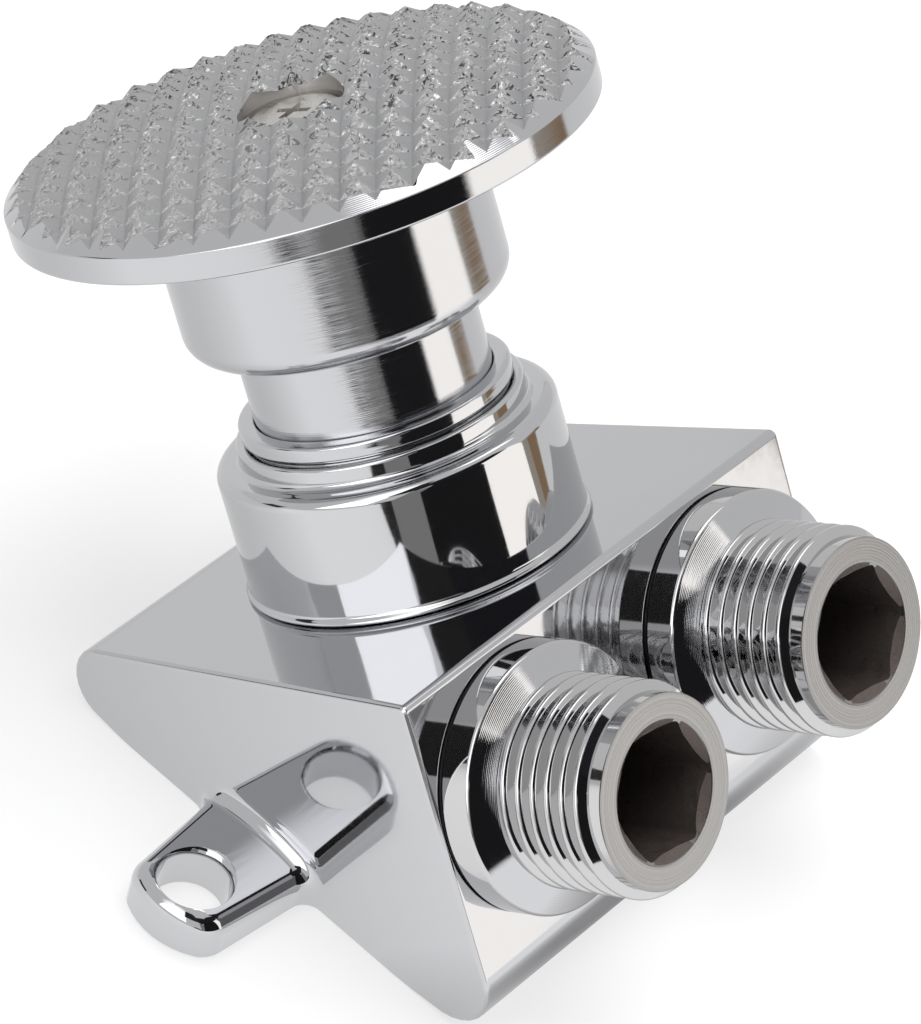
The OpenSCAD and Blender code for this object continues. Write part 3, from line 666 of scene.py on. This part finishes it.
# %% Half of the wedge
HALF_BLANK, HALF_RIDGE, RIDGE_UP = 40 * MM, 30 * MM, 23.4 * MM
TAPER = math.tan(math.radians(4.25))
body = draw_outline("valve_body_cast", side_view)
bpy.ops.mesh.select_all(action="SELECT")
bpy.ops.mesh.edge_face_add()
bpy.ops.object.mode_set(mode="OBJECT")
for v in body.data.vertices:
    v.co = (0, v.co.x, v.co.z)
select_mesh()
bpy.ops.mesh.extrude_region_move(TRANSFORM_OT_translate={"value": (HALF_BLANK, 0, 0)})
end_normal = stem_place.to_3x3() @ Vector((1, -TAPER, 0))
end_point = stem_place @ Vector((HALF_RIDGE, RIDGE_UP, 0))
bpy.ops.mesh.select_all(action="SELECT")
bpy.ops.mesh.bisect(plane_co=end_point, plane_no=end_normal, use_fill=True, clear_outer=True)
pick(body, "FACE", lambda f: f.center.x < 1e-6)
bpy.ops.mesh.delete(type="FACE")
clean()
print("half wedge", len(body.data.polygons), "faces")

# %% [markdown]
# Edges and faces are picked by where they lie. These helpers answer the questions that come back.

# %% Helpers for the body
def past_end(point):
    """How far a point stands out from the end face."""
    return (Vector(point) - end_point).dot(end_normal)


def on_end(point):
    """Whether a point lies on the end face."""
    return abs(past_end(point)) < WELD


def ends_of(edge):
    """The two end points of an edge."""
    return [body.data.vertices[i].co for i in edge.vertices]


def faces_of(edge):
    """The faces that meet at an edge."""
    return [f for f in body.data.polygons if all(i in f.vertices for i in edge.vertices)]


def borders_end(edge):
    """Whether an edge lies on the end face with only one of its two faces in it."""
    if not all(on_end(c) for c in ends_of(edge)):
        return False
    faces = faces_of(edge)
    return len(faces) == 2 and sum(on_end(f.center) for f in faces) == 1


def bevel_edges(obj, wanted, width, steps):
    """Rounds the edges for which wanted(edge) is true and tells how many these were."""
    found = pick(obj, "EDGE", wanted)
    bpy.ops.mesh.bevel(offset=width, segments=steps, affect="EDGES")
    bpy.ops.object.mode_set(mode="OBJECT")
    return found


# %% [markdown]
# The ear is extruded from a patch of the end face. Three bisects draw that patch, its new end is
# moved to the tip, and the tip is subdivided and laid on an arc. A separate ear joined by a Boolean
# would work too, but then its root couldn't be rounded as one edge.

# %% Ear
EAR_FOOT, EAR_ROOT_H, EAR_TIP_H = 6.856 * MM, 4.328 * MM, 4.807 * MM
EAR_REACH, EAR_PART, EAR_UPPER = 13.7 * MM, 36 * MM, 1 * MM
TIP_X, TIP_Y, TIP_PART = 41.56 * MM, 5.561 * MM, 41 * MM
TIP_ARC_X, TIP_ARC_R = 35.4 * MM, 8.3 * MM
HOLE_X, TOP_AT_HOLE, TOP_RISE = 38.5 * MM, 4.7 * MM, math.radians(2)


def ear_patch(f):
    """A face of the patch from which the ear is drawn out."""
    return on_end(f.center) and abs(f.center.y) < EAR_FOOT and f.center.z < EAR_ROOT_H


def tip_edge(e):
    """A level edge of the tip."""
    a, b = ends_of(e)
    return min(a.x, b.x) > TIP_PART and abs(a.z - b.z) < 1e-6


for plane_co, plane_no in (((0, EAR_FOOT, 0), (0, 1, 0)), ((0, -EAR_FOOT, 0), (0, 1, 0)),
                           ((0, 0, EAR_ROOT_H), (0, 0, 1))):
    select_mesh()
    bpy.ops.mesh.bisect(plane_co=plane_co, plane_no=plane_no)
bpy.ops.object.mode_set(mode="OBJECT")
found = pick(body, "FACE", ear_patch)
bpy.ops.mesh.extrude_region_move(TRANSFORM_OT_translate={"value": (EAR_REACH, 0, 0)})
bpy.ops.object.mode_set(mode="OBJECT")
for v in body.data.vertices:
    if v.co.x > EAR_PART:
        v.co = (TIP_X, math.copysign(TIP_Y, v.co.y), EAR_TIP_H if v.co.z > EAR_UPPER else 0)
pick(body, "EDGE", tip_edge)
bpy.ops.mesh.subdivide(number_cuts=9)
bpy.ops.object.mode_set(mode="OBJECT")
for v in body.data.vertices:
    if v.co.x > TIP_PART:
        v.co.x = TIP_ARC_X + math.sqrt(TIP_ARC_R ** 2 - v.co.y ** 2)
        if v.co.z > EAR_UPPER:
            v.co.z = TOP_AT_HOLE + (v.co.x - HOLE_X) * math.tan(TOP_RISE)
print("ear patches", found, "faces now", len(body.data.polygons))

# %% [markdown]
# Rounding goes from the tip inwards: the two upright corners, then the whole upper edge, then
# the joint with the end face, which wraps round the already rounded section. The outline of the
# end face gets a finer round.

# %% Rounded ear
EAR_LOW, EAR_HIGH, EAR_START = 4 * MM, 5.5 * MM, 28.5 * MM


def upright_corner(e):
    """An upright edge at a corner of the tip."""
    a, b = ends_of(e)
    return all(abs(c.x - TIP_X) < 2e-5 for c in (a, b)) and abs(a.z - b.z) > 2 * MM


def upper_edge(e):
    """An edge between the top of the ear and its sides or tip."""
    a, b = ends_of(e)
    if min(a.z, b.z) <= EAR_LOW or max(a.z, b.z) >= EAR_HIGH or max(a.x, b.x) < EAR_START:
        return False
    if on_end(a) and on_end(b):
        return False
    faces = faces_of(e)
    return len(faces) == 2 and abs(faces[0].normal.z - faces[1].normal.z) > 0.5


print("upright corners", bevel_edges(body, upright_corner, 1.25 * MM, 6))
print("upper edges", bevel_edges(body, upper_edge, 1.8 * MM, 8))
select_mesh()
bpy.ops.mesh.dissolve_limited(angle_limit=math.radians(0.05))
bpy.ops.object.mode_set(mode="OBJECT")

# %% [markdown]
# Buffing leaves the top of the ear a little domed across its width. The flat top is cut into strips
# with bisects, and every point of the ear is then raised or lowered by its place across the ear.
# Points on the end face slide in the plane of that face.

# %% Domed ear
DOME_MIDDLE, DOME_DROP, EAR_TOP_START = 0.25 * MM, 0.95 * MM, 29 * MM


def ear_top(f):
    """A flat face on top of the ear."""
    level = f.normal.z > 0.98 and f.center.z > EAR_LOW
    return level and f.center.x > EAR_TOP_START and abs(f.center.y) < EAR_FOOT


for cut in range(-4, 5):
    pick(body, "FACE", ear_top)
    bpy.ops.mesh.bisect(plane_co=(0, cut * MM, 0), plane_no=(0, 1, 0))
bpy.ops.object.mode_set(mode="OBJECT")
for v in body.data.vertices:
    beyond = past_end(v.co)
    if beyond > -WELD and abs(v.co.y) < EAR_FOOT + 1e-5 and 0.1 * MM < v.co.z < EAR_HIGH:
        rise = (DOME_MIDDLE - DOME_DROP * (v.co.y / EAR_FOOT) ** 2) * min(1, v.co.z / EAR_ROOT_H)
        v.co.z += rise
        if beyond < WELD:
            v.co.x += TAPER * math.sin(SLOPE) * rise
print("domed ear", len(body.data.polygons), "faces")

# %% [markdown]
# The round at the root is a fillet, as casting needs it: a sharp inner corner would crack. The
# outline of the end face only lost its burr.

# %% Ear root and end outline
EAR_AROUND, EAR_OVER = 12 * MM, 8 * MM


def root_edge(e):
    """An edge where the ear meets the end face."""
    a, b = ends_of(e)
    beside = max(abs(a.y), abs(b.y)) <= EAR_FOOT + 1e-5
    return beside and max(a.z, b.z) <= EAR_ROOT_H + 0.3 * MM and borders_end(e)


def end_outline(e):
    """An edge of the end face, apart from the floor and the ear."""
    a, b = ends_of(e)
    by_ear = abs(a.y) < EAR_AROUND and a.z < EAR_OVER
    return not by_ear and max(a.z, b.z) >= 0.1 * MM and borders_end(e)


print("root edges", bevel_edges(body, root_edge, 1.9 * MM, 8))
print("outline edges", bevel_edges(body, end_outline, 0.6 * MM, 3))

# %% [markdown]
# The Mirror modifier adds the other half. Each screw hole is cut with a turned tool whose flared
# top leaves a rounded rim, square to the ear's slightly rising top.

# %% Mirror and screw holes
HOLE_R, FLARE_R, FLARE_Z = 3.7, 1.05, -0.75
mirror = body.modifiers.new("other_half", "MIRROR")
mirror.merge_threshold = WELD
activate(body)
bpy.ops.object.modifier_apply(modifier=mirror.name)
select_mesh()
bpy.ops.mesh.dissolve_limited(angle_limit=math.radians(0.02))
clean()
flare = arc((HOLE_R + FLARE_R, FLARE_Z), FLARE_R, 180, 90, 8)
for side in (-1, 1):
    drill = lathe_piece("drill", [(0, -8), (HOLE_R, -8), *flare, (HOLE_R + FLARE_R, 3), (0, 3)], 96)
    tilt = Matrix.Rotation(-side * TOP_RISE, 4, "Y")
    drill.matrix_world = Matrix.Translation((side * HOLE_X, 0, TOP_AT_HOLE)) @ tilt
    combine(body, drill, "DIFFERENCE")
print("body with holes", len(body.data.polygons), "faces")

# %% [markdown]
# The neck that carries the cap stands on the slope. The bore below it holds the spring and the
# seat, each port is a stepped hole, and two drilled water ways join the ports to the bore. All
# of them are turned tools, because a drill makes them in the real casting.

# %% Neck, bores and water ways
WAY_R = 2.2


def cut_body(place, corners, steps, how="DIFFERENCE"):
    """Cuts a turned tool out of the body at a place, or joins it."""
    tool = lathe_piece("tool", corners, steps)
    tool.matrix_world = place
    combine(body, tool, how)


def passage(start, turn, length):
    """A drilled water way that starts at a place on the stem's bench."""
    place = stem_place @ Matrix.Translation(Vector(start) * MM) @ turn
    cut_body(place, [(0, 0), (WAY_R, 0), (WAY_R, length), (0, length)], 32)


cut_body(stem_place, [(0, -1), (15.5, -1), (15.5, 6.2), (0, 6.2)], 100, "UNION")
cut_body(stem_place, [(0, -14.5), (8.05, -14.5), (8.05, -0.4), (13.6, -0.4), (13.6, 9), (0, 9)], 96)
for side in (-1, 1):
    port = [(0, -24.2), (5, -24.2), (5, -10.3), (8.35, -10.3), (8.35, 1), (0, 1)]
    cut_body(port_place(side), port, 96)
passage((-16.2, 4.4, -12.15), Matrix.Rotation(math.radians(90), 4, "Y"), 16.2)
passage((11.15, 5.9, -13.4), Matrix.Identity(4), 13.2)
body.data.materials.append(body_chrome)
settle(body, Matrix.Identity(4), "housing", ["valve_body"], 30)

# %% [markdown]
# ## Cap, gland nut and stem
# The cap is screwed over the neck of the body. It has a flat shoulder with a rounded edge, and a
# small bead runs round its foot. It is turned in one go, with more steps than a hidden piece gets,
# because its outline is seen against the white.

# %% Cap
cap = lathe_piece("cap_turned", [
    (15.55, 0.02, 0.2), (17.6, 0.02, 0.35), (17.9, 0.45, 0.3), (17.45, 0.95, 0.2),
    (17.45, 13.6, 1.2), (14.75, 13.6, 0.6), (14.75, 15.75, 0.4), (13.45, 15.75, 0.2),
    (13.45, 8.5), (12.3, 8.5), (12.3, 7.0), (15.55, 7.0)], 192)
cap.data.materials.append(cap_chrome)
settle(cap, stem_place, "housing", ["bonnet_cap"])

# %% [markdown]
# The gland nut stands above the cap with a dark joint between them. That joint is a real gap
# in the outlines, and the groove inside the nut holds the wiper ring.

# %% Gland nut
gland = lathe_piece("gland_turned", [
    (12.25, 11.5), (13.4, 11.5, 0.3), (13.4, 16.1), (13.96, 16.1, 0.2), (13.96, 17.7, 0.4),
    (12.25, 17.7, 0.25), (12.25, 17.325), (13.0, 17.325), (13.0, 16.625), (12.25, 16.625)], 192)
gland.data.materials.append(gland_chrome)
settle(gland, stem_place, "housing", ["gland_nut"])

# %% [markdown]
# The stem slides in the nut. It is hollow below for the spring and has a thinner end above, on
# which the pedal sits. It rides on the moving body, so the pedal takes it along.

# %% Stem
stem = lathe_piece("stem_turned", [
    (0, 26), (2.05, 26), (2.05, 19.5), (9, 19.5), (9, 7.4, 0.4), (12.2, 7.4, 0.6),
    (12.2, 27.35, 0.3), (8, 27.35), (8, 42.05, 0.5), (2.55, 42.05), (2.55, 32.05), (0, 32.05)])
stem.data.materials.append(stem_chrome)
settle(stem, stem_place, "pedal_stem", ["stem"])

# %% [markdown]
# ## Pedal
# The pedal is one casting: a hub, a thin plate and a domed field of pyramid teeth. A grid is
# bent to the dome and poked, which raises one pyramid on every cell. Arrayed cones would leave
# gaps between them that the real field doesn't have.

# %% Tooth field
PITCH, TEETH, TOOTH_H, FIELD_DEPTH = 3.5, 19, 1.2, 30 * MM
FIELD_TOP, FIELD_DOME_R, FIELD_TURN = 49.35, 188 * MM, math.radians(39)
bpy.ops.object.select_all(action="DESELECT")
bpy.ops.mesh.primitive_grid_add(x_subdivisions=TEETH, y_subdivisions=TEETH, size=TEETH * PITCH * MM)
teeth = bpy.context.object
teeth.name = "tooth_field"
for v in teeth.data.vertices:
    sag = (v.co.x ** 2 + v.co.y ** 2) / (2 * FIELD_DOME_R)
    v.co.z = FIELD_TOP * MM - sag - TOOTH_H * MM
select_mesh()
bpy.ops.mesh.poke(offset=TOOTH_H * MM)
bpy.ops.mesh.select_all(action="SELECT")
bpy.ops.mesh.extrude_region_move(TRANSFORM_OT_translate={"value": (0, 0, -FIELD_DEPTH)})
clean()
teeth.matrix_world = Matrix.Rotation(FIELD_TURN, 4, "Z")
print("tooth field", len(teeth.data.polygons), "faces")

# %% [markdown]
# The spun outline is intersected with the field, so the turned margin cuts the outer teeth into
# scallops. Both meshes carry the same list of finishes, so the faces of the teeth can be told
# from the turned ones afterwards.

# %% Pedal
RIM, HUB, MARGIN, WELL, TOOTH, TORN = range(6)
PLATE_UNDER, WELL_REACH = 42.45, 6
pedal = lathe_piece("pedal_toothed", [
    (2.55, 42.35), (8.05, 42.35), (8.05, 27.35), (12.25, 27.35), (12.25, 26), (16.65, 26, 2.4),
    (16.65, 42.5), (29.75, 42.5, 0.35), (29.75, 45.35, 0.12), (24.983, FIELD_TOP), (5.4, FIELD_TOP),
    (5.4, 44.25), (2.55, 44.25)], 192)
for obj in (pedal, teeth):
    for mat in (rim_chrome, stem_chrome, margin_chrome, well_nickel, tooth_silver, torn_tooth_and_glints):
        obj.data.materials.append(mat)
for f in teeth.data.polygons:
    f.material_index = TOOTH
combine(pedal, teeth, "INTERSECT")
torn_side = Vector((math.cos(FIELD_TURN), math.sin(FIELD_TURN), 0))
for f in pedal.data.polygons:
    if f.material_index == TOOTH:
        f.material_index = TORN if f.normal.dot(torn_side) > 0.4 else TOOTH
    elif f.center.z / MM < PLATE_UNDER:
        f.material_index = HUB
    elif f.center.xy.length / MM < WELL_REACH:
        f.material_index = WELL
    elif f.normal.z > 0.3:
        f.material_index = MARGIN
print("pedal", len(pedal.data.polygons), "faces")

# %% [markdown]
# The torn sides are rough in the metal itself, so their facets are divided and their points
# shaken a little. A bump alone would leave the edges of the teeth straight.

# %% Torn teeth
print("torn sides", pick(pedal, "FACE", lambda f: f.material_index == TORN))
bpy.ops.mesh.quads_convert_to_tris()
bpy.ops.mesh.subdivide(number_cuts=4)
bpy.ops.transform.vertex_random(offset=0.07 * MM, uniform=1, normal=0, seed=7)
bpy.ops.object.mode_set(mode="OBJECT")
settle(pedal, stem_place, "pedal_stem", ["pedal"], 25)

# %% [markdown]
# ## Nipples
# Each port has a collared nipple with a pipe thread. The thread is one section wound by the Screw
# modifier. Both ends run out into the core, and the crests are held inside the chamfer at the
# mouth, as if that was turned after threading. The recalculated normals of such a coil point
# inwards, so they are flipped before it is joined.

# %% Thread
THREAD_PITCH, TURNS, TURN_STEPS, THREAD_START = 1.814, 6.6, 96, 1.829
CORE, CREST, CHAMFER_FROM = 9.2, 10.4775, 14.9
SECTION = [(CORE, 0.012), (10.28, 0.58), (10.42, 0.69), (10.47, 0.82), (10.47, 0.99), (10.42, 1.12),
           (10.28, 1.23), (CORE, 1.798)]
ALL_STEPS = round(TURNS * TURN_STEPS)


def run_out(step):
    """How much of the ridge stands at a step: it grows and fades over a third of a turn."""
    near = min(step, ALL_STEPS - step) / (TURN_STEPS / 3)
    return min(1, near) ** 0.5


def thread_ridge():
    """A closed helical ridge with its ends sunk in the core."""
    obj = draw_outline("thread_ridge", [*SECTION, SECTION[0]])
    clean()
    count = len(obj.data.vertices)
    wind = obj.modifiers.new("wind", "SCREW")
    wind.angle, wind.screw_offset = 2 * math.pi * TURNS, THREAD_PITCH * TURNS * MM
    wind.steps = wind.render_steps = ALL_STEPS
    activate(obj)
    bpy.ops.object.modifier_apply(modifier=wind.name)
    for v in obj.data.vertices:
        z = v.co.z / MM + THREAD_START
        r = math.hypot(v.co.x, v.co.y) / MM
        standing = CORE + (r - CORE) * run_out(v.index // count)
        wanted = min(standing, CREST - max(0, z - CHAMFER_FROM))
        v.co = (v.co.x * wanted / r, v.co.y * wanted / r, z * MM)
    select_mesh()
    bpy.ops.mesh.fill_holes(sides=len(SECTION) + 2)
    clean()
    select_mesh()
    bpy.ops.mesh.flip_normals()
    bpy.ops.object.mode_set(mode="OBJECT")
    return obj


# %% [markdown]
# The hexagon takes the key that screws the nipple in. Its prism has softened corners, as a
# broach leaves them, and the outline of the nipple opens the mouth with a cone.

# %% Hexagon
HEX_R, HEX_LENGTH, HEX_MIDDLE, HEX_TURN = 6.928 * MM, 14 * MM, 10.8 * MM, math.radians(-38)


def hexagon():
    """A six-sided tool with rounded corners, 12 mm across its flats."""
    bpy.ops.object.select_all(action="DESELECT")
    bpy.ops.mesh.primitive_cylinder_add(vertices=6, radius=HEX_R, depth=HEX_LENGTH)
    obj = bpy.context.object

    def upright(e):
        a, b = (obj.data.vertices[i].co.z for i in e.vertices)
        return abs(a - b) > MM

    bevel_edges(obj, upright, 0.5 * MM, 3)
    turn = Matrix.Rotation(HEX_TURN, 4, "Z")
    obj.matrix_world = Matrix.Translation((0, 0, HEX_MIDDLE)) @ turn
    return obj


# %% [markdown]
# The nipple's outline is turned first, with the thread's core in it. The thread is joined and the
# hexagon cut. The end face, the cone of the collar and the bore have finishes of their own,
# given to the faces by their place.

# %% Nipples
PLATE, CONE, FACE, BORE = range(4)
FACE_FROM, FACE_R, BORE_TO, BORE_R = 15.1, 9.6, 15.6, 7.0
CONE_FROM, CONE_TO, CONE_R = 3.05, 4.1, 10.6


def nipple(name, side):
    """A collared nipple with its thread and hexagon, still on the bench."""
    obj = lathe_piece(name, [
        (5, -9.3), (8.3, -9.3, 0.4), (8.3, 0), (13.12, 0), (13.15, -0.5), (13.35, -0.5, 0.08),
        (13.35, 2.7, 0.3), (9.62, 4.2, 0.2),
        (9.5, 5.1), (9.5, 15.72), (9.42, 15.8), (7.05, 15.8, 0.12), (6.1, 15.1), (5, 15.1)], 160)
    combine(obj, thread_ridge(), "UNION")
    combine(obj, hexagon(), "DIFFERENCE")
    for mat in (nipple_chrome, collar_chrome[side], face_nickel[side], bore_painted_shade):
        obj.data.materials.append(mat)
    for f in obj.data.polygons:
        r = max(math.hypot(*obj.data.vertices[i].co.xy) for i in f.vertices) / MM
        z = f.center.z / MM
        if r < BORE_R and z < BORE_TO:
            f.material_index = BORE
        elif z > FACE_FROM and r < FACE_R:
            f.material_index = FACE
        elif CONE_FROM < z < CONE_TO and r > CONE_R and f.normal.z > 0.5:
            f.material_index = CONE
    return obj


for side, name, node in ((-1, "inlet_threaded", "inlet_nipple"), (1, "outlet_threaded", "outlet_nipple")):
    settle(nipple(name, side), port_place(side), "housing", [node])

# %% [markdown]
# A black rubber ring seals each collar against the body. Only its edge shows, as a dark line.

# %% Gaskets
for side, name, node in ((-1, "inlet_ring", "inlet_gasket"), (1, "outlet_ring", "outlet_gasket")):
    ring = lathe_piece(name, [(8.35, -0.8), (13.1, -0.8, 0.2), (13.1, 0, 0.2), (8.35, 0)], 128)
    ring.data.materials.append(rubber)
    settle(ring, port_place(side), "housing", [node])

# %% [markdown]
# ## Pedal screw and spring
# A pan head screw with a cross recess holds the pedal. The recess is two slots that narrow
# towards their bottom, as the tip of a driver does.

# %% Screw
HEAD_TOP, SLOT_SIZE, SLOT_NARROW = 47.45, (5.2, 1.15, 2.6), 0.55
screw = lathe_piece("pedal_screw_head", [
    (0, 33.05), (1.9, 33.05), (2.5, 33.65), (2.5, 45.05), (5, 45.05, 0.2), (5, HEAD_TOP, 1.2),
    (0, HEAD_TOP)], 96)
for slot_angle in (8, 98):
    bpy.ops.object.select_all(action="DESELECT")
    bpy.ops.mesh.primitive_cube_add(size=1)
    slot = bpy.context.object
    for v in slot.data.vertices:
        narrow = SLOT_NARROW if v.co.z < 0 else 1
        length, width, depth = (c * MM for c in SLOT_SIZE)
        v.co = (v.co.x * length * narrow, v.co.y * width * narrow, v.co.z * depth)
    turn = Matrix.Rotation(math.radians(slot_angle), 4, "Z")
    slot.matrix_world = Matrix.Translation((0, 0, HEAD_TOP * MM)) @ turn
    combine(screw, slot, "DIFFERENCE")
screw.data.materials.append(nickel)
settle(screw, stem_place, "pedal_stem", ["pedal_screw"])

# %% [markdown]
# The return spring is a ring wound by the Screw modifier. It is hidden, and it shortens as the
# pedal goes down; it gets a mesh of its own.

# %% Spring
WIRE_R, COIL_R, COIL_START, COIL_TURNS, COIL_RISE = 0.8 * MM, 7.4 * MM, 1.87 * MM, 6, 15.76 * MM
WIRE_SIDES, COIL_STEPS = 14, 240
bpy.ops.object.select_all(action="DESELECT")
bpy.ops.mesh.primitive_circle_add(vertices=WIRE_SIDES, radius=WIRE_R)
spring = bpy.context.object
spring.name = "spring_wound"
for v in spring.data.vertices:
    v.co = (COIL_R + v.co.x, 0, COIL_START + v.co.y)
wind = spring.modifiers.new("wind", "SCREW")
wind.angle, wind.screw_offset = 2 * math.pi * COIL_TURNS, COIL_RISE
wind.steps = wind.render_steps = COIL_STEPS
activate(spring)
bpy.ops.object.modifier_apply(modifier=wind.name)
select_mesh()
bpy.ops.mesh.fill_holes(sides=WIRE_SIDES + 2)
clean()
spring.data.materials.append(wire)
settle(spring, stem_place, "housing", ["return_spring"])
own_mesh(spring)

# %% [markdown]
# ## Inside pieces
# The seals, the seat and the poppet never show, so their CAD solids stay as they are. Each
# only gets the finish of its real material.

# %% Inside pieces keep their solids
inside = {
    "bonnet_gasket": fibre, "wiper_ring": rubber, "packing_washer": brass, "stem_packing": rubber,
    "thrust_washer": brass, "seat_ring": brass, "seat_o_ring": rubber, "poppet": brass,
    "poppet_washer": rubber, "poppet_nut": brass, "pedal_lock_washer": nickel,
}
for node, mat in inside.items():
    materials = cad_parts[node].data.materials
    materials.clear()
    materials.append(mat)
print("finishes on", len(inside), "inside pieces")
